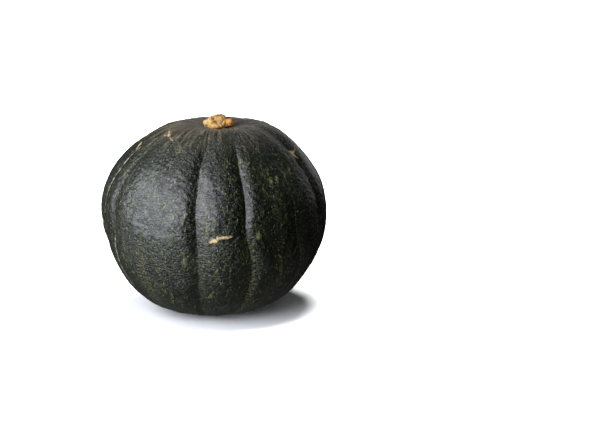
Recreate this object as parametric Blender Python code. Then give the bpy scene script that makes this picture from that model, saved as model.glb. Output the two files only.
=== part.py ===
"""Kabocha squash: one whole ribbed fruit with its short, cork-like cut stem.

Metres, +Z up. The fruit stands on a flat ring round its blossom end, at z = 0,
and the origin is the middle of its footprint on the ground. Azimuths are in
degrees, 0 at the front (-Y) and growing towards the right (+X).
"""

import math

import bmesh
import bpy

# The fruit's profile: two half-ovals that meet at the widest line. Rounding under 1 makes
# an oval fuller near its end, and taper draws it in between the widest line and the end.
RADIUS = 0.0900
CROWN_RISE = 0.0723
CROWN_ROUNDING = 0.900
CROWN_TAPER = 0.29
BASE_DROP = 0.0872
BASE_ROUNDING = 0.68
BASE_TAPER = 0.03

# The hollow that the stem stands in, and the flat ring and hollow underneath.
STEM_HOLLOW_DEPTH = 0.0135
STEM_HOLLOW_RADIUS = 0.0280
REST_FLAT = 0.0016
BLOSSOM_HOLLOW_DEPTH = 0.0032
BLOSSOM_HOLLOW_RADIUS = 0.0165

# The fruit's middle line wanders to the right, most at the crown:
# (height above the widest line, sideways shift).
MIDDLE_LINE = (
    (-0.0860, 0.0000),
    (-0.0350, 0.0013),
    (0.0000, 0.0004),
    (0.0340, 0.0003),
    (0.0610, 0.0036),
)
CROWN_SHIFT = MIDDLE_LINE[-1][1]

# The crown also slopes down a little towards the front: a rise for each metre backwards.
CROWN_TILT = 0.044
CROWN_TILT_ENDS = 0.060

# Furrows between the ribs: azimuth in degrees, depth at the widest line.
FURROWS = (
    (-166.0, 0.0032),
    (-146.0, 0.0009),
    (-125.0, 0.0026),
    (-106.0, 0.0009),
    (-89.0, 0.0014),
    (-70.0, 0.0018),
    (-54.0, 0.0012),
    (-33.0, 0.0007),
    (-5.0, 0.0036),
    (19.5, 0.0032),
    (33.0, 0.0009),
    (47.0, 0.0012),
    (70.0, 0.0032),
    (92.0, 0.0012),
    (113.0, 0.0030),
    (131.0, 0.0009),
    (152.0, 0.0024),
    (173.0, 0.0013),
)
FURROW_SHARPNESS = 4.0

# Below the widest line the furrows swing away from the front, by this angle at the sides.
FURROW_SWING = 13.0
SWING_DEPTH = 0.050
COLUMNS_PER_RIB = 5
RINGS = 34
POLE_CROWDING = 0.22

# The stem: a low, flared, five-sided stub whose foot follows the hollow.
STEM_FOOT = 0.0130
STEM_NECK = 0.0102
STEM_CROWN = 0.0116
STEM_RISE = 0.0082
STEM_SIDES = 5
STEM_SIDE_SWELL = 0.06
STEM_SEGMENTS = 40
STEM_RINGS = 20
SEAT_GAP = 0.0004


def smoothstep(value):
    value = min(max(value, 0.0), 1.0)
    return value * value * (3.0 - 2.0 * value)


def middle_shift(height):
    """Sideways shift of the fruit's middle at this height above the widest line."""
    shift = MIDDLE_LINE[0][1]
    for below, above in zip(MIDDLE_LINE, MIDDLE_LINE[1:]):
        share = smoothstep((height - below[0]) / (above[0] - below[0]))
        shift += (above[1] - below[1]) * share
    return shift


def crown_tilt(height, back):
    """What the crown's slope adds to the height at this distance behind the middle."""
    return CROWN_TILT * back * smoothstep(height / CROWN_TILT_ENDS)


def tapered(along, taper):
    """A half-oval's share of its full height, drawn in by the taper."""
    return along * (1.0 + taper * along * along) / (1.0 + taper)


def crown_height(radius, along):
    """Height above the widest line, with the stem's hollow sunk into it."""
    hollow = STEM_HOLLOW_DEPTH * math.exp(-((radius / STEM_HOLLOW_RADIUS) ** 2))
    return CROWN_RISE * tapered(along, CROWN_TAPER) - hollow


def profile(polar):
    """(radius, height above the widest line) at a polar angle, 0 at the stem, pi below."""
    across, along = math.sin(polar), math.cos(polar)
    if along >= 0.0:
        radius = RADIUS * across ** CROWN_ROUNDING
        return radius, crown_height(radius, along)
    return RADIUS * across ** BASE_ROUNDING, BASE_DROP * tapered(along, BASE_TAPER)


def profile_normal(polar):
    """Outward unit normal of the profile, as (radial, vertical)."""
    step = 0.002
    before = profile(max(polar - step, 0.0))
    after = profile(min(polar + step, math.pi))
    run, fall = after[0] - before[0], before[1] - after[1]
    length = math.hypot(run, fall)
    return fall / length, run / length


def rib_azimuth(turn, height):
    """Azimuth in radians; turn counts furrows, so that whole numbers lie in a furrow."""
    rib = int(turn) % len(FURROWS)
    start = FURROWS[rib][0]
    end = FURROWS[(rib + 1) % len(FURROWS)][0]
    if end < start:
        end += 360.0
    azimuth = math.radians(start + (turn - int(turn)) * (end - start))
    swing = math.radians(FURROW_SWING) * smoothstep(-height / SWING_DEPTH)
    return azimuth + swing * math.sin(azimuth)


def furrow_depth(turn):
    """How far the two furrows beside this place pull the rind in, at the widest line."""
    rib = int(turn) % len(FURROWS)
    across = turn - int(turn)
    left = FURROWS[rib][1] * (1.0 - across) ** FURROW_SHARPNESS
    right = FURROWS[(rib + 1) % len(FURROWS)][1] * across ** FURROW_SHARPNESS
    return left + right


def furrow_strength(radius, height):
    """Furrows fade out towards the stem above and before the flat ring below."""
    if height >= 0.0:
        return smoothstep((radius - 0.022) / 0.052)
    return smoothstep((radius - 0.028) / 0.048)


def rind_point(polar, turn):
    """A place on the rind, with z = 0 at the flat ring underneath."""
    radius, height = profile(polar)
    outward, upward = profile_normal(polar)
    dip = furrow_depth(turn) * furrow_strength(radius, height)
    radius -= dip * outward
    height -= dip * upward
    height = max(height, REST_FLAT - BASE_DROP)
    shift = middle_shift(height)
    if height < 0.0:
        height += BLOSSOM_HOLLOW_DEPTH * max(0.0, 1.0 - (radius / BLOSSOM_HOLLOW_RADIUS) ** 2) ** 2
    azimuth = rib_azimuth(turn, height)
    back = -radius * math.cos(azimuth)
    height += crown_tilt(height, back)
    return shift + radius * math.sin(azimuth), back, height + BASE_DROP - REST_FLAT


def crowded_polar(polar):
    """Moves the rings of an even sphere closer together near its two ends."""
    return polar - POLE_CROWDING * math.sin(2.0 * polar)


def make_fruit():
    """The fruit: a sphere whose columns run along the ribs and furrows."""
    columns = len(FURROWS) * COLUMNS_PER_RIB
    sphere = bmesh.new()
    bmesh.ops.create_uvsphere(sphere, u_segments=columns, v_segments=RINGS, radius=1.0)
    for vertex in sphere.verts:
        polar = math.acos(min(max(vertex.co.z, -1.0), 1.0))
        around = math.atan2(vertex.co.y, vertex.co.x) / (2.0 * math.pi)
        column = round(around * columns) % columns
        vertex.co = rind_point(crowded_polar(polar), column / COLUMNS_PER_RIB)
    return sphere


def seat_height(radius, azimuth):
    """Height of the stem's seat in the hollow, with z = 0 at the flat ring."""
    across = (radius / RADIUS) ** (1.0 / CROWN_ROUNDING)
    height = crown_height(radius, math.sqrt(1.0 - across * across))
    height += crown_tilt(height, -radius * math.cos(azimuth))
    return height + BASE_DROP - REST_FLAT + SEAT_GAP


def stem_outline(azimuth, share_up):
    """Swell of the stem's outline: five blunt sides, uneven, and turning as they rise."""
    turned = azimuth + 0.25 * share_up
    swell = 1.0 + STEM_SIDE_SWELL * math.cos(STEM_SIDES * turned)
    swell += 0.05 * math.cos(2.0 * turned - 1.3)
    return swell + 0.035 * math.cos(3.0 * turned + 0.6)


def stem_profile(polar):
    """(radius, height above the foot, share of the way up) from the crown to the foot."""
    if polar < 0.30 * math.pi:
        share = polar / (0.30 * math.pi)
        radius = 0.88 * STEM_CROWN * share
        return radius, STEM_RISE * (0.93 + 0.07 * math.cos(3.0 * share)), 1.0
    share = (polar - 0.30 * math.pi) / (0.45 * math.pi)
    corner = smoothstep(share / 0.28)
    radius = STEM_CROWN * (0.88 + 0.12 * corner)
    radius += (STEM_NECK - STEM_CROWN) * smoothstep((share - 0.22) / 0.30)
    radius += (STEM_FOOT - STEM_NECK) * smoothstep((share - 0.55) / 0.45)
    return radius, STEM_RISE * 0.861 * (1.0 - share) ** 0.9, 1.0 - share


def stem_point(polar, azimuth):
    """A place on the stem; the last quarter of the polar angle is its underside."""
    foot_share = 0.75 * math.pi
    if polar < foot_share:
        radius, rise, share_up = stem_profile(polar)
        radius *= stem_outline(azimuth, share_up)
        bottom = seat_height(STEM_FOOT * stem_outline(azimuth, 0.0), azimuth)
        lift = 0.0009 * share_up * math.cos(azimuth + 0.7) * radius / STEM_CROWN
        height = bottom + rise + lift
    else:
        share = (math.pi - polar) / (math.pi - foot_share)
        radius = STEM_FOOT * stem_outline(azimuth, 0.0) * share
        height = seat_height(radius, azimuth)
    return (
        CROWN_SHIFT + radius * math.sin(azimuth),
        -radius * math.cos(azimuth),
        height,
    )


def make_stem():
    """The stem: a small sphere moved on to the stub's profile and outline."""
    sphere = bmesh.new()
    bmesh.ops.create_uvsphere(sphere, u_segments=STEM_SEGMENTS, v_segments=STEM_RINGS, radius=1.0)
    for vertex in sphere.verts:
        polar = math.acos(min(max(vertex.co.z, -1.0), 1.0))
        azimuth = math.atan2(vertex.co.y, vertex.co.x)
        vertex.co = stem_point(polar, azimuth)
    return sphere


def rind_material():
    material = bpy.data.materials.new("rind")
    material.use_nodes = True
    shader = material.node_tree.nodes["Principled BSDF"]
    shader.inputs["Base Color"].default_value = (0.018, 0.030, 0.016, 1.0)
    shader.inputs["Roughness"].default_value = 0.34
    shader.inputs["Metallic"].default_value = 0.0
    return material


def stem_material():
    material = bpy.data.materials.new("stem_cork")
    material.use_nodes = True
    shader = material.node_tree.nodes["Principled BSDF"]
    shader.inputs["Base Color"].default_value = (0.50, 0.31, 0.12, 1.0)
    shader.inputs["Roughness"].default_value = 0.85
    shader.inputs["Metallic"].default_value = 0.0
    return material


def add_part(name, shape, material, collection):
    """Turns a finished shape into a smooth-shaded object with its own material."""
    bmesh.ops.recalc_face_normals(shape, faces=shape.faces)
    mesh = bpy.data.meshes.new(name)
    shape.to_mesh(mesh)
    shape.free()
    mesh.shade_smooth()
    mesh.materials.append(material)
    part = bpy.data.objects.new(name, mesh)
    collection.objects.link(part)
    return part


def centre_on_footprint(parts):
    """Moves every part so that the middle of the fruit's box is over the origin."""
    corners = [vertex.co for vertex in parts[0].data.vertices]
    middle_x = (min(c.x for c in corners) + max(c.x for c in corners)) / 2.0
    middle_y = (min(c.y for c in corners) + max(c.y for c in corners)) / 2.0
    for part in parts:
        for vertex in part.data.vertices:
            vertex.co.x -= middle_x
            vertex.co.y -= middle_y


def main():
    for old in list(bpy.data.objects):
        bpy.data.objects.remove(old, do_unlink=True)
    collection = bpy.data.collections.new("kabocha_squash")
    bpy.context.scene.collection.children.link(collection)
    fruit = add_part("fruit", make_fruit(), rind_material(), collection)
    stem = add_part("stem", make_stem(), stem_material(), collection)
    centre_on_footprint((fruit, stem))


main()
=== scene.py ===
import math

import bmesh
import bpy
import numpy as np
from mathutils import Euler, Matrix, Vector, noise


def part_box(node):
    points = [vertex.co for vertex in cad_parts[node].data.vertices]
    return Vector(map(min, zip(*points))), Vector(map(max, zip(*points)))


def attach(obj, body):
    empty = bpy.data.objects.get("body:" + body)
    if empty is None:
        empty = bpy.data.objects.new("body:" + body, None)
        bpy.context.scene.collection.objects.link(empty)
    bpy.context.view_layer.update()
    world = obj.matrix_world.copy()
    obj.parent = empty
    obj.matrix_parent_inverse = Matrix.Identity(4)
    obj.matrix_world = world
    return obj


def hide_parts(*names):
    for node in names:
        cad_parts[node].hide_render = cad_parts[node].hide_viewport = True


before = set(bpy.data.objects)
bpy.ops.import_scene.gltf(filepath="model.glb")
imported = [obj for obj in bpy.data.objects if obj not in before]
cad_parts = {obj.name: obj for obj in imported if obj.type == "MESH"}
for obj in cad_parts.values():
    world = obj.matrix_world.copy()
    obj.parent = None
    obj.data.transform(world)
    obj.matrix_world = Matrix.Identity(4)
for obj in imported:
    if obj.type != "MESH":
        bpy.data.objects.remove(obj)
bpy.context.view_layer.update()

# ---- Fruit ---------------------------------------------------------------------------------
# The whole fruit with its rind, grown in one piece: hard, waxy and almost black green, drawn
# in along eighteen furrows, flecked with pale green and marked with a few corky scars.
# It is a fine sphere whose columns follow the furrows, moved on to the fruit's profile.

# The profile: lengths are in metres, and heights are taken from the widest line.
WIDEST_RADIUS = 0.0900
CROWN_RISE = 0.0723
CROWN_ROUNDING = 0.90
CROWN_TAPER = 0.29
BASE_DROP = 0.0872
BASE_ROUNDING = 0.68
BASE_TAPER = 0.03
STEM_HOLLOW_DEPTH = 0.0135
STEM_HOLLOW_RADIUS = 0.0280
REST_FLAT = 0.0016
BLOSSOM_HOLLOW_DEPTH = 0.0032
BLOSSOM_HOLLOW_RADIUS = 0.0165
# Height above the widest line, and how far right the fruit's middle lies there.
MIDDLE_LINE = (
    (-0.0860, 0.0000),
    (-0.0350, 0.0013),
    (0.0000, 0.0004),
    (0.0340, 0.0003),
    (0.0610, 0.0036),
)
CROWN_TILT = 0.044
CROWN_TILT_ENDS = 0.060
FURROW_SWING = math.radians(13.0)
SWING_DEPTH = 0.050
RIB_ROUNDNESS = 4.0
CREASE_WIDTH = 0.0048
FURROW_WANDER = math.radians(0.7)

# Each furrow: azimuth from the front in degrees, depth, depth of the crease at its bottom,
# strength of its pale cork line, where that line starts in millimetres down the rind, and how
# thickly yellow green specks gather along its lower half.
AZIMUTH, DEPTH, CREASE, PALE_LINE, LINE_START, SPECKS = range(6)
FURROWS = np.array((
    (-166.0, 0.0032, 0.0006, 0.5, 60.0, 0.3),
    (-146.0, 0.0009, 0.0001, 0.3, 120.0, 0.8),
    (-125.0, 0.0026, 0.0005, 0.7, 75.0, 0.2),
    (-106.0, 0.0009, 0.0001, 0.1, 60.0, 0.7),
    (-89.0, 0.0014, 0.0002, 0.4, 90.0, 0.1),
    (-70.0, 0.0018, 0.0003, 0.75, 62.0, 0.2),
    (-54.0, 0.0012, 0.0003, 0.6, 138.0, 0.4),
    (-33.0, 0.0007, 0.0001, 0.0, 60.0, 1.0),
    (-5.0, 0.0036, 0.0014, 0.04, 10.0, 0.0),
    (19.5, 0.0032, 0.0006, 0.0, 10.0, 0.9),
    (33.0, 0.0009, 0.0000, 0.0, 10.0, 0.3),
    (47.0, 0.0012, 0.0002, 0.08, 70.0, 0.6),
    (70.0, 0.0032, 0.0005, 1.0, 70.0, 0.1),
    (92.0, 0.0012, 0.0002, 0.4, 90.0, 0.5),
    (113.0, 0.0030, 0.0006, 0.6, 64.0, 0.2),
    (131.0, 0.0009, 0.0001, 0.1, 60.0, 0.9),
    (152.0, 0.0024, 0.0004, 0.8, 80.0, 0.2),
    (173.0, 0.0013, 0.0002, 0.1, 60.0, 0.7),
))
# Corky scars as strokes: azimuth in degrees and millimetres down the rind at each end, then
# half the width in millimetres.
SCARS = (
    (-59.0, 41.5, -51.0, 46.5, 0.5),
    (-51.0, 46.5, -46.5, 49.0, 1.3),
    (-46.5, 49.0, -37.0, 53.0, 0.6),
    (-57.5, 48.5, -48.0, 47.5, 0.7),
    (-49.5, 43.0, -48.5, 47.5, 0.5),
    (-75.0, 62.5, -72.0, 68.5, 1.0),
    (63.0, 69.0, 68.5, 70.5, 1.0),
    (68.5, 70.5, 72.5, 72.0, 2.0),
    (72.5, 72.0, 77.0, 70.0, 0.8),
    (70.0, 71.0, 72.5, 78.0, 0.7),
    (66.0, 74.5, 70.0, 71.5, 0.7),
    (1.2, 137.5, 5.5, 135.5, 1.5),
    (5.0, 134.0, 11.5, 133.5, 1.2),
    (-76.5, 133.0, -76.3, 136.0, 1.2),
    (139.0, 95.0, 146.0, 99.0, 0.9),
    (-140.0, 150.0, -134.0, 148.0, 1.3),
    (-112.0, 58.0, -104.0, 66.0, 0.8),
    (-106.0, 60.0, -110.0, 66.0, 0.7),
    (98.0, 168.0, 106.0, 171.0, 1.0),
)
# How high a scar stands in metres; its sloping edge and the blossom scar are in millimetres.
SCAR_RISE = 0.00045
SCAR_SHOULDER = 0.8
BLOSSOM_SCAR_RADIUS = 5.5

# Unevenness: height and size of a bump, both in metres, how much it is shortened down the
# fruit (under 1 makes it longer), and a number that sets each kind apart.
WANDER = (1.0, 0.030, 1.0, 11)
BROAD_DENTS = (0.00075, 0.030, 1.0, 1)
LONG_DENTS = (0.00036, 0.011, 0.45, 2)
RIPPLES = (0.00024, 0.0060, 0.585, 3)
PEBBLES = (0.00038, 0.0030, 1.25, 4)
CROWN_RIDGES = (0.00022, 0.0070, 0.10, 5)
PEBBLES_AT_CROWN = 0.3
PEBBLES_LOST_AT_BASE = 0.5

COLUMNS_PER_RIB = 38
RINGS = 320
FURROW_CROWDING = 0.35
POLE_CROWDING = 0.16


def ease(value, start, end):
    """Goes smoothly from 0 to 1 as the value goes from start to end."""
    share = np.clip((value - start) / (end - start), 0.0, 1.0)
    return share * share * (3.0 - 2.0 * share)


def crown_height(radius, along):
    hollow = STEM_HOLLOW_DEPTH * np.exp(-((radius / STEM_HOLLOW_RADIUS) ** 2))
    return CROWN_RISE * along * (1.0 + CROWN_TAPER * along**2) / (1.0 + CROWN_TAPER) - hollow


def fruit_profile(polar):
    """Radius and height above the widest line, at a polar angle of 0 at the stem."""
    across, along = np.sin(polar), np.cos(polar)
    upper = along >= 0.0
    across = np.clip(across, 0.0, 1.0)
    radius = WIDEST_RADIUS * np.where(upper, across**CROWN_ROUNDING, across**BASE_ROUNDING)
    drop = BASE_DROP * along * (1.0 + BASE_TAPER * along**2) / (1.0 + BASE_TAPER)
    return radius, np.where(upper, crown_height(radius, along), drop)


def outward_normal(polar):
    """The profile's normal: how far out and how far up it leans."""
    nearby = 0.002
    before = fruit_profile(np.maximum(polar - nearby, 0.0))
    after = fruit_profile(np.minimum(polar + nearby, math.pi))
    run, fall = after[0] - before[0], before[1] - after[1]
    length = np.hypot(run, fall)
    return fall / length, run / length


def middle_shift(height):
    """How far the fruit leans to the right at this height."""
    shift = np.full_like(height, MIDDLE_LINE[0][1])
    for below, above in zip(MIDDLE_LINE, MIDDLE_LINE[1:]):
        shift += (above[1] - below[1]) * ease(height, below[0], above[0])
    return shift


def per_rib(turn, column):
    """A furrow's own value at the furrow to the left and to the right of this place."""
    rib = np.floor(turn).astype(int) % len(FURROWS)
    return FURROWS[rib, column], FURROWS[(rib + 1) % len(FURROWS), column]


# The noise lies off the level, so that no ring of the fruit runs along its grid.
NOISE_TILT = np.array(Euler((0.5, 0.7, 0.3)).to_matrix())


def bumps(places, kind):
    """The height of one kind of unevenness at each of these places."""
    height, size, shortened, seed = kind
    start = np.array((seed * 7.31, seed * 3.17, seed * 5.73))
    tilted = places * (1.0, 1.0, shortened) @ NOISE_TILT / size + start
    return height * np.array([noise.noise(place) for place in tilted.tolist()])


# Rings of columns from stem to base, with one point at each pole.
columns = len(FURROWS) * COLUMNS_PER_RIB
ring_polar = np.linspace(0.0, math.pi, RINGS + 1)[1:-1]
even_polar = np.append(np.repeat(ring_polar, columns), (0.0, math.pi))
polar = even_polar - POLE_CROWDING * np.sin(2.0 * even_polar)
turn = np.append(np.tile(np.arange(columns), len(ring_polar)), (0, 0)) / COLUMNS_PER_RIB
across = turn - np.floor(turn)
across = across - FURROW_CROWDING * np.sin(2.0 * math.pi * across) / (2.0 * math.pi)

# The smooth fruit first: profile, then ribs and furrows.
radius, height = fruit_profile(polar)
outward, upward = outward_normal(polar)
left_start, right_start = per_rib(turn, AZIMUTH)
right_start = np.where(right_start < left_start, right_start + 360.0, right_start)
rib_azimuth = np.radians(left_start + across * (right_start - left_start))
azimuth = rib_azimuth + FURROW_SWING * ease(-height, 0.0, SWING_DEPTH) * np.sin(rib_azimuth)
around = np.stack((np.sin(azimuth), -np.cos(azimuth)), axis=1)

# Each place is also known by its way around the fruit and its way down the rind, and noise
# laid out in these follows the ribs.
steps = np.linspace(0.0, math.pi, 721)
step_radius, step_height = fruit_profile(steps)
stride = np.hypot(np.diff(step_radius), np.diff(step_height))
walked = np.concatenate(([0.0], np.cumsum(stride)))
down_rind = np.interp(polar, steps, walked)
meridian = np.column_stack((around * WIDEST_RADIUS, down_rind))

# Furrows wander a little, and die out towards the stem and the blossom end.
azimuth = azimuth + FURROW_WANDER * bumps(meridian, WANDER) * ease(radius, 0.020, 0.050)
around = np.stack((np.sin(azimuth), -np.cos(azimuth)), axis=1)
fade = np.where(height >= 0.0, ease(radius, 0.022, 0.074), ease(radius, 0.028, 0.076))
left_depth, right_depth = per_rib(turn, DEPTH)
left_crease, right_crease = per_rib(turn, CREASE)
rib_width = np.radians(right_start - left_start) * radius
from_left, from_right = across * rib_width, (1.0 - across) * rib_width
dip = left_depth * (1.0 - across) ** RIB_ROUNDNESS + right_depth * across**RIB_ROUNDNESS
dip += left_crease * np.exp(-((from_left / CREASE_WIDTH) ** 2))
dip += right_crease * np.exp(-((from_right / CREASE_WIDTH) ** 2))
dip *= fade

# How far each place is from the edge of the nearest scar, in millimetres.
down_mm = down_rind * 1000.0
scar_gap = np.full(len(down_mm), 20.0)
for start_azimuth, start_down, end_azimuth, end_down, half_width in SCARS:
    reach = 1000.0 * np.interp(start_down / 1000.0, walked, step_radius)
    turned = (np.degrees(azimuth) - start_azimuth + 180.0) % 360.0 - 180.0
    beside, beyond = np.radians(turned) * reach, down_mm - start_down
    run = math.radians(end_azimuth - start_azimuth) * reach
    fall = end_down - start_down
    share = np.clip((beside * run + beyond * fall) / (run**2 + fall**2), 0.0, 1.0)
    gap = np.hypot(beside - share * run, beyond - share * fall)
    gap -= half_width * (1.0 - 0.5 * np.abs(2.0 * share - 1.0))
    scar_gap = np.minimum(scar_gap, gap)
blossom_scar = 1000.0 * radius - BLOSSOM_SCAR_RADIUS
scar_gap = np.where(height < 0.0, np.minimum(scar_gap, blossom_scar), scar_gap)

# Then the unevenness that every grown fruit has, from broad dents to a pebbled skin. The
# ring that it stands on stays flat.
pebbled = PEBBLES_AT_CROWN + (1.0 - PEBBLES_AT_CROWN) * ease(down_rind, 0.030, 0.070)
pebbled -= PEBBLES_LOST_AT_BASE * ease(down_rind, 0.125, 0.160)
uneven = bumps(meridian, BROAD_DENTS) + bumps(meridian, LONG_DENTS) + bumps(meridian, RIPPLES)
uneven += pebbled * bumps(meridian, PEBBLES)
uneven += bumps(meridian, CROWN_RIDGES) * (1.0 - pebbled) * ease(radius, 0.010, 0.020)
off_the_ring = np.where(height < 0.0, ease(radius, 0.027, 0.047), 1.0)
scar = SCAR_RISE * (1.0 - ease(scar_gap, -SCAR_SHOULDER, SCAR_SHOULDER))
offset = uneven * off_the_ring - dip + scar
radius_moved = radius + offset * outward
height_moved = np.maximum(height + offset * upward, REST_FLAT - BASE_DROP)
shift = middle_shift(height_moved)
blossom = np.maximum(0.0, 1.0 - (radius_moved / BLOSSOM_HOLLOW_RADIUS) ** 2) ** 2
back = radius_moved * around[:, 1]
height_moved += np.where(height_moved < 0.0, BLOSSOM_HOLLOW_DEPTH * blossom, 0.0)
height_moved += CROWN_TILT * back * ease(height_moved, 0.0, CROWN_TILT_ENDS)
places = np.column_stack(
    (shift + radius_moved * around[:, 0], back, height_moved + BASE_DROP - REST_FLAT)
)

# The fruit stands where its solid stands: the same footprint, middle over the origin.
low, high = (np.array(corner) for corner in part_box("fruit"))
places[:, :2] += (low + high)[:2] / 2.0 - (places.min(axis=0) + places.max(axis=0))[:2] / 2.0

# Four sided faces between the rings, and a fan of three sided ones at each pole.
first, after = np.arange(columns), (np.arange(columns) + 1) % columns
faces = []
for upper in range(0, (RINGS - 2) * columns, columns):
    ring = np.column_stack((first, first + columns, after + columns, after)) + upper
    faces += ring.tolist()
stem_pole, base_pole, last = len(places) - 2, len(places) - 1, (RINGS - 2) * columns
faces += [(stem_pole, int(a), int(b)) for a, b in zip(first, after)]
faces += [(int(b) + last, int(a) + last, base_pole) for a, b in zip(first, after)]
fruit_mesh = bpy.data.meshes.new("fruit_rind")
fruit_mesh.from_pydata(places.tolist(), [], faces)
fruit_mesh.shade_smooth()
fruit = bpy.data.objects.new("fruit_rind", fruit_mesh)
bpy.context.scene.collection.objects.link(fruit)


def keep_on_mesh(mesh, name, values, kind="FLOAT"):
    """Stores one value or vector for each vertex, for the material to read."""
    layer = mesh.attributes.new(name, kind, "POINT")
    layer.data.foreach_set("value" if kind == "FLOAT" else "vector", np.ravel(values))


# What the skin has to know at each place: the nearer furrow and what it carries, how far
# down the rind the place is, and how far it is from a scar, all in millimetres.
nearer_left = across < 0.5
furrow_gap = np.where(nearer_left, from_left, -from_right) * 1000.0
line = np.where(nearer_left, *per_rib(turn, PALE_LINE))
line_start = np.where(nearer_left, *per_rib(turn, LINE_START))
specks = np.where(nearer_left, *per_rib(turn, SPECKS))
keep_on_mesh(fruit_mesh, "furrow_gap", furrow_gap)
keep_on_mesh(fruit_mesh, "pale_line", line * ease(down_mm, line_start, line_start + 8.0))
keep_on_mesh(fruit_mesh, "speck_band", specks * ease(down_mm, 118.0, 163.0))
keep_on_mesh(fruit_mesh, "down_rind", down_mm)
keep_on_mesh(fruit_mesh, "scar_gap", scar_gap)
keep_on_mesh(fruit_mesh, "meridian", meridian * 1000.0, "FLOAT_VECTOR")


def feed(tree, node, feeds):
    """Feeds a node's inputs, each with a value or with another node's output."""
    for name, value in feeds.items():
        if isinstance(value, bpy.types.NodeSocket):
            tree.links.new(value, node.inputs[name])
        else:
            node.inputs[name].default_value = value


def add_node(tree, kind, feeds, **options):
    """Adds a shader node, sets its options, then feeds its inputs."""
    made = tree.nodes.new("ShaderNode" + kind)
    for option, value in options.items():
        setattr(made, option, value)
    feed(tree, made, feeds)
    return made


def calc(tree, operation, first, second=0.0, third=0.0):
    feeds = {0: first, 1: second, 2: third}
    return add_node(tree, "Math", feeds, operation=operation).outputs[0]


def times(tree, first, *others):
    for other in others:
        first = calc(tree, "MULTIPLY", first, other)
    return first


def fade_in(tree, value, start, end, low=0.0, high=1.0):
    """Goes smoothly from low to high as the value goes from start to end."""
    feeds = {"Value": value, 1: start, 2: end, 3: low, 4: high}
    return add_node(tree, "MapRange", feeds, interpolation_type="SMOOTHSTEP").outputs[0]


def tint(tree, share, under, over):
    """Lays the second colour over the first by this share."""
    feeds = {0: share, 6: under, 7: over}
    return add_node(tree, "Mix", feeds, data_type="RGBA").outputs[2]


def stretched(tree, vector, scale):
    feeds = {0: vector, 1: scale}
    return add_node(tree, "VectorMath", feeds, operation="MULTIPLY").outputs[0]


def in_millimetres(tree):
    """The place on the piece, in millimetres."""
    return stretched(tree, add_node(tree, "TexCoord", {}).outputs["Object"], (1000.0,) * 3)


def speckle(tree, vector, scale, detail=3.0, roughness=0.55, distortion=0.0):
    """Cloudy noise between 0 and 1; a scale of 0.5 makes clouds about 2 units across."""
    feeds = {"Vector": vector, "Scale": scale, "Detail": detail, "Roughness": roughness}
    feeds["Distortion"] = distortion
    return add_node(tree, "TexNoise", feeds).outputs["Fac"]


def from_mesh(tree, name, output="Fac"):
    """Reads what keep_on_mesh stored."""
    return add_node(tree, "Attribute", {}, attribute_name=name).outputs[output]


def bump(tree, height, distance, under=None):
    """Raises the surface by up to this distance in metres, over what an earlier bump gives."""
    feeds = {"Height": height, "Strength": 1.0, "Distance": distance}
    if under is not None:
        feeds["Normal"] = under
    return add_node(tree, "Bump", feeds).outputs[0]


def new_group(name, inputs, outputs):
    """An empty node group; inputs and outputs are pairs of name and socket type."""
    made = bpy.data.node_groups.new(name, "ShaderNodeTree")
    for in_out, sockets in (("INPUT", inputs), ("OUTPUT", outputs)):
        for label, kind in sockets:
            made.interface.new_socket(label, in_out=in_out, socket_type="NodeSocket" + kind)
    return made, made.nodes.new("NodeGroupInput").outputs, made.nodes.new("NodeGroupOutput")


def use_group(tree, group, feeds):
    return add_node(tree, "Group", feeds, node_tree=group).outputs


# Cork: dry, crumbly tissue, lighter on its grains, and darker in its pits and cracks, where its
# bump is low: painted shade.
cork_tissue, given, result = new_group(
    "cork_tissue",
    (("Place", "Vector"), ("Dark", "Color"), ("Middle", "Color"), ("Light", "Color")),
    (("Color", "Color"), ("Roughness", "Float"), ("Height", "Float")),
)
crumbs = speckle(cork_tissue, given["Place"], 0.9, 5.0, 0.65, 0.5)
blotches = speckle(cork_tissue, given["Place"], 0.22, 3.0, 0.6)
# painted shade: the dark colour fills the low parts of the bump
out_of_painted_pit_shade = fade_in(cork_tissue, crumbs, 0.32, 0.50)
shade = tint(cork_tissue, out_of_painted_pit_shade, given["Dark"], given["Middle"])
paler = times(
    cork_tissue,
    fade_in(cork_tissue, crumbs, 0.48, 0.66),
    fade_in(cork_tissue, blotches, 0.35, 0.62, 0.15, 1.0),
)
shade = tint(cork_tissue, paler, shade, given["Light"])
roughness = fade_in(cork_tissue, crumbs, 0.3, 0.7, 0.92, 0.72)
feed(cork_tissue, result, {"Color": shade, "Roughness": roughness, "Height": crumbs})

BLACK_GREEN = (0.0028, 0.0036, 0.0020, 1)
DARK_GREEN = (0.0075, 0.0105, 0.0052, 1)
OLIVE = (0.028, 0.035, 0.010, 1)
YELLOW_GREEN = (0.125, 0.135, 0.045, 1)
PALE_FLECK = (0.085, 0.090, 0.045, 1)
FURROW_SPECK = (0.105, 0.105, 0.040, 1)
CROWN_BROWN = (0.026, 0.022, 0.012, 1)
CROWN_TAN = (0.34, 0.28, 0.19, 1)
PALE_LINE_COLOUR = (0.46, 0.43, 0.34, 1)

rind = bpy.data.materials.new("rind")
rind.use_nodes = True
tree = rind.node_tree
skin = tree.nodes["Principled BSDF"]
along = from_mesh(tree, "meridian", "Vector")
down = from_mesh(tree, "down_rind")
spot = in_millimetres(tree)

# Ground colour: black green and dark green in broad soft clouds, longer down the fruit.
clouds = speckle(tree, stretched(tree, along, (1.0, 1.0, 0.5)), 0.045, 4.0)
ground = tint(tree, fade_in(tree, clouds, 0.35, 0.65), BLACK_GREEN, DARK_GREEN)

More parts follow.
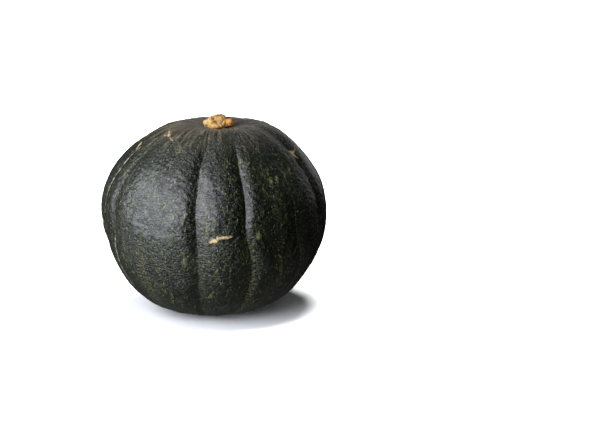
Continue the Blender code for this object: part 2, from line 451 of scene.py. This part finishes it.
# Mottling: broken olive streaks that follow the ribs, in loose patches.
patches = speckle(tree, stretched(tree, along, (1.0, 1.0, 0.4)), 0.06, 2.0)
streaks = speckle(tree, stretched(tree, along, (1.0, 1.0, 0.35)), 0.34, 5.0, 0.65, 0.6)
streak_share = times(
    tree, fade_in(tree, streaks, 0.50, 0.62), fade_in(tree, patches, 0.38, 0.62, 0.15, 0.8)
)
colour = tint(tree, streak_share, ground, OLIVE)
spots = speckle(tree, stretched(tree, along, (1.0, 1.0, 0.5)), 0.30, 4.0, 0.65, 0.8)
spot_share = times(
    tree, fade_in(tree, spots, 0.57, 0.66), fade_in(tree, patches, 0.45, 0.65, 0.2, 1.0)
)
colour = tint(tree, spot_share, colour, YELLOW_GREEN)

# Flecks: fine pale dots in the skin, each about a millimetre across.
dots = add_node(tree, "TexVoronoi", {"Vector": spot, "Scale": 0.42, "Randomness": 1.0})
chosen = add_node(tree, "SeparateColor", {0: dots.outputs["Color"]}).outputs[0]
dot_share = times(
    tree,
    fade_in(tree, dots.outputs["Distance"], 0.14, 0.36, 1.0, 0.0),
    fade_in(tree, chosen, 0.30, 0.95),
)
colour = tint(tree, dot_share, colour, PALE_FLECK)

# Bands of closer yellow green specks down some furrows.
gap = from_mesh(tree, "furrow_gap")
band = times(
    tree,
    fade_in(tree, calc(tree, "ABSOLUTE", gap), 1.0, 7.0, 1.0, 0.0),
    from_mesh(tree, "speck_band"),
)
specks = speckle(tree, stretched(tree, spot, (1.0, 1.0, 0.8)), 0.75, 3.0, 0.7)
speck_share = times(tree, band, fade_in(tree, specks, 0.48, 0.62, 0.0, 0.85))
colour = tint(tree, speck_share, colour, FURROW_SPECK)

# Dry, greyish brown bloom on the crown, drawn out towards the stem. On the left, where the key
# light falls, it is painted thicker, so that side of the crown is painted lighter: painted
# light.
near_stem = fade_in(tree, down, 18.0, 72.0, 1.0, 0.0)
rays = speckle(tree, stretched(tree, along, (1.0, 1.0, 0.22)), 0.16, 8.0, 0.78, 1.1)
painted_light_side = add_node(tree, "SeparateXYZ", {0: along}).outputs["X"]
bloom_and_painted_light_share = times(
    tree,
    near_stem,
    fade_in(tree, rays, 0.25, 0.55, 0.5, 1.0),
    fade_in(tree, patches, 0.35, 0.62, 0.55, 1.0),
    # painted light: more pale bloom on the left, the side the key light falls on
    fade_in(tree, painted_light_side, -45.0, 15.0, 1.3, 0.62),
)
dry = tint(tree, fade_in(tree, rays, 0.44, 0.62), CROWN_BROWN, CROWN_TAN)
colour = tint(tree, bloom_and_painted_light_share, colour, dry)

# Pale cork line along some furrows, and cork over each scar.
waver = calc(tree, "MULTIPLY_ADD", speckle(tree, along, 0.12, 2.0), 2.4, -1.2)
off_line = calc(tree, "ABSOLUTE", calc(tree, "ADD", gap, waver))
broken = fade_in(tree, speckle(tree, along, 0.4, 3.0, 0.6), 0.36, 0.58, 0.25, 0.95)
line_share = times(
    tree, fade_in(tree, off_line, 0.25, 1.15, 1.0, 0.0), from_mesh(tree, "pale_line"), broken
)
ragged = calc(tree, "MULTIPLY_ADD", speckle(tree, spot, 0.5, 5.0, 0.7), 4.4, -2.2)
scar_edge = calc(tree, "ADD", from_mesh(tree, "scar_gap"), ragged)
scar_share = fade_in(tree, scar_edge, -0.35, 0.35, 1.0, 0.0)
colour = tint(tree, line_share, colour, PALE_LINE_COLOUR)
cork = use_group(
    tree,
    cork_tissue,
    {
        "Place": spot,
        "Dark": (0.34, 0.17, 0.06, 1),
        "Middle": (0.50, 0.36, 0.18, 1),
        "Light": (0.70, 0.58, 0.36, 1),
    },
)
colour = tint(tree, scar_share, colour, cork["Color"])
tree.links.new(colour, skin.inputs["Base Color"])

# Waxy gloss, duller on the dry crown and on pale cork.
polish = speckle(tree, spot, 0.11, 5.0, 0.6)
gloss = fade_in(tree, polish, 0.35, 0.65, 0.14, 0.26)
gloss = calc(tree, "ADD", gloss, times(tree, bloom_and_painted_light_share, 0.22))
feeds = {0: scar_share, 2: gloss, 3: cork["Roughness"]}
tree.links.new(add_node(tree, "Mix", feeds).outputs[0], skin.inputs["Roughness"])
skin.inputs["IOR"].default_value = 1.5
skin.inputs["Coat Roughness"].default_value = 0.2
off_bloom_and_painted_light = calc(tree, "SUBTRACT", 1.0, bloom_and_painted_light_share)
wax = times(tree, fade_in(tree, polish, 0.35, 0.65, 0.55, 0.15), off_bloom_and_painted_light)
tree.links.new(wax, skin.inputs["Coat Weight"])

# Fine skin: low soft pebbles wider than they are tall, with a finer grain on them, and
# crumbs on the scars.
pebbles = speckle(tree, stretched(tree, along, (1.0, 1.0, 1.7)), 0.36, 2.0, 0.45, 1.0)
grain = speckle(tree, spot, 1.2, 2.0, 0.5)
crust = times(tree, scar_share, cork["Height"])
relief = bump(tree, pebbles, 0.0014)
relief = bump(tree, grain, 0.0002, relief)
relief = bump(tree, crust, 0.0006, relief)
tree.links.new(relief, skin.inputs["Normal"])
fruit_mesh.materials.append(rind)

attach(fruit, "root")
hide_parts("fruit")

# ---- Stem ----------------------------------------------------------------------------------
# What is left of the fruit's stem after the cut: a low, hard stub of golden tan cork, lumpy
# and cracked, seated in the hollow of the crown. Rounded lumps run together into one mass.

# Each lump: its middle right of, behind and above the seat, then its half sizes, all in mm.
STEM_LUMPS = (
    (-0.3, 0.0, 1.6, 9.6, 10.2, 3.4),
    (-1.0, 0.6, 4.8, 7.4, 7.4, 5.0),
    (1.4, -0.6, 7.4, 5.4, 5.0, 3.3),
    (-4.4, -3.0, 4.4, 4.4, 4.8, 4.0),
    (-5.6, -1.2, 3.4, 5.6, 6.0, 3.9),
    (9.8, -2.6, 4.6, 3.4, 4.2, 2.9),
    (6.4, -2.6, 4.0, 3.8, 3.8, 2.8),
    (3.0, 6.6, 3.8, 4.8, 4.4, 3.8),
    (-4.6, 6.8, 3.0, 4.6, 4.2, 3.4),
)
STEM_SEAT = 0.1459
STEM_GRAIN = 0.00045
CRACK_DEPTH = 0.0007
KNOB_ORANGE = (0.50, 0.20, 0.035, 1)
LEFT_LIGHT_STRAW = (0.68, 0.58, 0.30, 1)
CRACK_SHADE_BROWN = (0.20, 0.060, 0.014, 1)

low, high = (Vector(corner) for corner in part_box("stem"))
seat = Vector(((low.x + high.x) / 2.0, (low.y + high.y) / 2.0, STEM_SEAT))
lump_shape = bmesh.new()
for right, behind, above, half_width, half_depth, half_height in STEM_LUMPS:
    made = bmesh.ops.create_icosphere(lump_shape, subdivisions=3, radius=0.001)
    bmesh.ops.scale(lump_shape, vec=(half_width, half_depth, half_height), verts=made["verts"])
    middle = seat + Vector((right, behind, above)) / 1000.0
    bmesh.ops.translate(lump_shape, vec=middle, verts=made["verts"])
lump_mesh = bpy.data.meshes.new("stem_lumps")
lump_shape.to_mesh(lump_mesh)
lump_shape.free()
lumps = bpy.data.objects.new("stem_lumps", lump_mesh)
bpy.context.scene.collection.objects.link(lumps)
melt = lumps.modifiers.new("run together", "REMESH")
melt.mode = "VOXEL"
melt.voxel_size = STEM_GRAIN
soften = lumps.modifiers.new("soften", "SMOOTH")
soften.factor, soften.iterations = 0.5, 14
stem_mesh = bpy.data.meshes.new_from_object(
    lumps.evaluated_get(bpy.context.evaluated_depsgraph_get())
)
stem_mesh.name = "stem_cork"
bpy.data.objects.remove(lumps)

# Long cracks, small crumbs and broad swellings: the surface moves in and out along its normals.
pits = []
for vertex in stem_mesh.vertices:
    place = vertex.co * 1000.0
    ridge = 1.0 - abs(noise.noise(Vector((place.x, place.y, place.z * 0.6)) * 0.30)) * 4.0
    crumb = noise.noise(place * 0.75 + Vector((3.0, 9.0, 4.0)))
    swell = noise.noise(place * 0.26 + Vector((8.0, 1.0, 2.0)))
    pits.append(0.60 * max(ridge, -0.6) - 0.5 * crumb - 1.1 * swell)
moved = [
    vertex.co - vertex.normal * CRACK_DEPTH * pit
    for vertex, pit in zip(stem_mesh.vertices, pits)
]
for vertex, place in zip(stem_mesh.vertices, moved):
    vertex.co = place
stem_mesh.shade_smooth()
keep_on_mesh(stem_mesh, "pit", pits)
stem = bpy.data.objects.new("stem_cork", stem_mesh)
bpy.context.scene.collection.objects.link(stem)

dry_cork = bpy.data.materials.new("stem_cork")
dry_cork.use_nodes = True
tree = dry_cork.node_tree
body = tree.nodes["Principled BSDF"]
spot = in_millimetres(tree)
cork = use_group(
    tree,
    cork_tissue,
    {
        "Place": spot,
        "Dark": (0.245, 0.120, 0.038, 1),
        "Middle": (0.48, 0.28, 0.080, 1),
        "Light": (0.66, 0.46, 0.18, 1),
    },
)
rightward = add_node(tree, "SeparateXYZ", {0: spot}).outputs["X"]
knob = fade_in(tree, rightward, 7.5, 13.0, 0.0, 0.85)
# painted light: the stem is painted paler towards the left, where the key light falls
painted_left_light = fade_in(tree, rightward, -2.5, -7.5, 0.0, 0.5)
# painted shade: where the surface was pushed in, in cracks and pits, it is painted dark brown
painted_crack_shade = fade_in(tree, from_mesh(tree, "pit"), 0.22, 0.55, 0.0, 0.85)
colour = tint(tree, knob, cork["Color"], KNOB_ORANGE)
colour = tint(tree, painted_left_light, colour, LEFT_LIGHT_STRAW)
colour = tint(tree, painted_crack_shade, colour, CRACK_SHADE_BROWN)
tree.links.new(colour, body.inputs["Base Color"])
tree.links.new(cork["Roughness"], body.inputs["Roughness"])
tree.links.new(bump(tree, cork["Height"], 0.0006), body.inputs["Normal"])
stem_mesh.materials.append(dry_cork)

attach(stem, "root")
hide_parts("stem")

# ---- Studio --------------------------------------------------------------------------------
# A plain white sweep, one large soft light at the left front, a faint one behind, a dim room,
# and a camera a little above the fruit. The overhead lamp lights the sweep alone, so that it
# stays white, and the sweep can't be seen from below.

FLOOR_HALF_WIDTH = 20.0
PAPER_WHITE = (0.93, 0.93, 0.93, 1)
PAPER_FIBRE = (0.95, 0.95, 0.95, 1)

floor_shape = bmesh.new()
bmesh.ops.create_grid(floor_shape, x_segments=1, y_segments=1, size=FLOOR_HALF_WIDTH)
floor_mesh = bpy.data.meshes.new("floor")
floor_shape.to_mesh(floor_mesh)
floor_shape.free()
floor = bpy.data.objects.new("floor", floor_mesh)
bpy.context.scene.collection.objects.link(floor)
paper = bpy.data.materials.new("white_sweep")
paper.use_nodes = True
tree = paper.node_tree
sheet = tree.nodes["Principled BSDF"]
fibres = speckle(tree, add_node(tree, "TexCoord", {}).outputs["Object"], 3.0)
colour = tint(tree, fade_in(tree, fibres, 0.3, 0.7), PAPER_WHITE, PAPER_FIBRE)
tree.links.new(colour, sheet.inputs["Base Color"])
sheet.inputs["Roughness"].default_value = 0.9
sheet.inputs["Specular IOR Level"].default_value = 0.1
from_below = add_node(tree, "NewGeometry", {}).outputs["Backfacing"]
clear = add_node(tree, "BsdfTransparent", {}).outputs[0]
sides = add_node(tree, "MixShader", {0: from_below, 1: sheet.outputs[0], 2: clear})
tree.links.new(sides.outputs[0], tree.nodes["Material Output"].inputs["Surface"])
floor_mesh.materials.append(paper)
floor.visible_diffuse = False
floor.visible_glossy = False
floor.visible_shadow = False

FRUIT_MIDDLE = Vector((0.0, 0.0, 0.078))


def soft_light(name, way, distance, size, strength, colour):
    """A rectangular soft light that stands off the fruit this way, and faces it."""
    lamp = bpy.data.lights.new(name, "AREA")
    lamp.shape = "RECTANGLE"
    lamp.size, lamp.size_y = size
    lamp.energy = strength
    lamp.color = colour
    holder = bpy.data.objects.new(name, lamp)
    holder.location = FRUIT_MIDDLE + way.normalized() * distance
    holder.rotation_euler = (FRUIT_MIDDLE - holder.location).to_track_quat("-Z", "Y").to_euler()
    bpy.context.scene.collection.objects.link(holder)


KEY_AZIMUTH, KEY_RISE = math.radians(-50.0), math.radians(20.0)
key_way = Vector((math.sin(KEY_AZIMUTH), -math.cos(KEY_AZIMUTH), math.tan(KEY_RISE)))
soft_light("key", key_way, 1.5, (2.9, 2.6), 113.0, (0.97, 1.0, 1.08))
soft_light("back", Vector((0.30, 0.92, 0.34)), 1.6, (1.6, 1.2), 2.2, (1.0, 1.0, 1.0))

overhead_lamp = bpy.data.lights.new("overhead", "SUN")
overhead_lamp.angle = math.radians(30.0)
overhead_lamp.energy = 8.6
overhead = bpy.data.objects.new("overhead", overhead_lamp)
bpy.context.scene.collection.objects.link(overhead)
only_floor = bpy.data.collections.new("lit_by_overhead")
only_floor.objects.link(floor)
overhead.light_linking.receiver_collection = only_floor

# The room: dim, a little brighter above, to the left and from the floor, and plain white
# where it is seen.
world = bpy.data.worlds.new("studio")
world.use_nodes = True
bpy.context.scene.world = world
tree = world.node_tree
way = add_node(tree, "SeparateXYZ", {0: add_node(tree, "TexCoord", {}).outputs["Generated"]})
upward = fade_in(tree, way.outputs["Z"], -0.3, 0.9, 0.006, 0.03)
leftward = fade_in(tree, way.outputs["X"], -1.0, 0.3, 0.08, 0.0)
floorward = fade_in(tree, way.outputs["Z"], -0.9, -0.3, 0.09, 0.0)
room = calc(tree, "ADD", calc(tree, "ADD", upward, leftward), floorward)
seen = add_node(tree, "LightPath", {}).outputs["Is Camera Ray"]
backdrop = tree.nodes["Background"]
tree.links.new(calc(tree, "MAXIMUM", room, seen), backdrop.inputs["Strength"])
backdrop.inputs["Color"].default_value = (1.0, 1.0, 1.0, 1.0)
bpy.context.scene.view_settings.view_transform = "Standard"

CAMERA_PLACE = (0.0668, -0.9802, 0.2764)
CAMERA_RISE = math.radians(12.0)
camera_data = bpy.data.cameras.new("camera")
camera_data.lens = 75.4
camera_data.sensor_width = 36.0
camera = bpy.data.objects.new("camera", camera_data)
camera.location = CAMERA_PLACE
camera.rotation_euler = (math.radians(90.0) - CAMERA_RISE, 0.0, 0.0)
bpy.context.scene.collection.objects.link(camera)
bpy.context.scene.camera = camera
